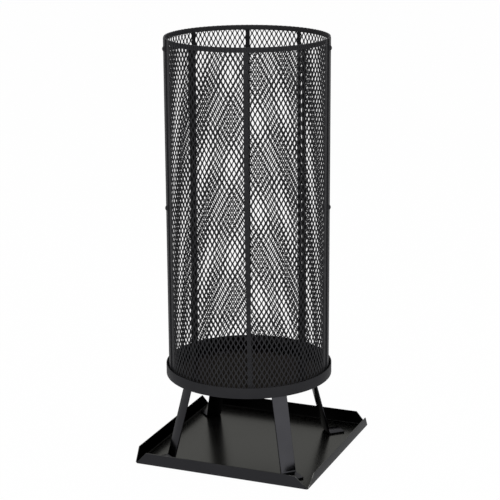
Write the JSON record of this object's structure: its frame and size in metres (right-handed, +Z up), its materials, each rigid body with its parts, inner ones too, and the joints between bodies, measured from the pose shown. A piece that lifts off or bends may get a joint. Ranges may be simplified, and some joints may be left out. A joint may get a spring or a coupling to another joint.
{
  "type": "ash bin with mesh basket",
  "caption": "Tall round mesh basket for burning garden waste, standing in a shallow round dish on splayed flat-bar legs over a folded square ash tray, all painted black.",
  "frame": {"origin": "on the ground, under the middle of the ash tray", "axes": "+Z up; X and Y along the tray's sides, with the front half of the basket towards -Y and +X"},
  "size_m": [0.3482, 0.3482, 0.7816],
  "materials": {
    "black_sheet": "semi-gloss black paint on folded sheet",
    "black_bar": "semi-gloss black paint on flat bar",
    "black_mesh": "satin black paint on expanded metal",
    "black_fastener": "black paint over bolts and nuts"
  },
  "bodies": {
    "tray": {"ash_tray": "black_sheet"},
    "stand": {"dish_floor": "black_sheet", "dish_rim": "black_bar", "leg_front_left": "black_bar", "leg_front_right": "black_bar", "leg_rear_left": "black_bar", "leg_rear_right": "black_bar", "leg_bolts": "black_fastener", "leg_nuts": "black_fastener"},
    "basket": {"front_mesh": "black_mesh", "front_top_hoop": "black_bar", "front_bottom_hoop": "black_bar", "front_upright_left": "black_bar", "front_upright_middle": "black_bar", "front_upright_right": "black_bar", "front_seam_strip_left": "black_bar", "front_seam_strip_right": "black_bar", "rear_mesh": "black_mesh", "rear_top_hoop": "black_bar", "rear_bottom_hoop": "black_bar", "rear_upright_left": "black_bar", "rear_upright_middle": "black_bar", "rear_upright_right": "black_bar", "rear_seam_strip_left": "black_bar", "rear_seam_strip_right": "black_bar", "seam_bolts": "black_fastener", "seam_nuts": "black_fastener"}
  },
  "joints": [
    {"name": "stand_lift", "type": "slide", "parent": "tray", "child": "stand", "axis": [0, 0, 1], "range_m": [0, 0.2]},
    {"name": "basket_lift", "type": "slide", "parent": "stand", "child": "basket", "axis": [0, 0, 1], "range_m": [0, 0.25]}
  ]
}
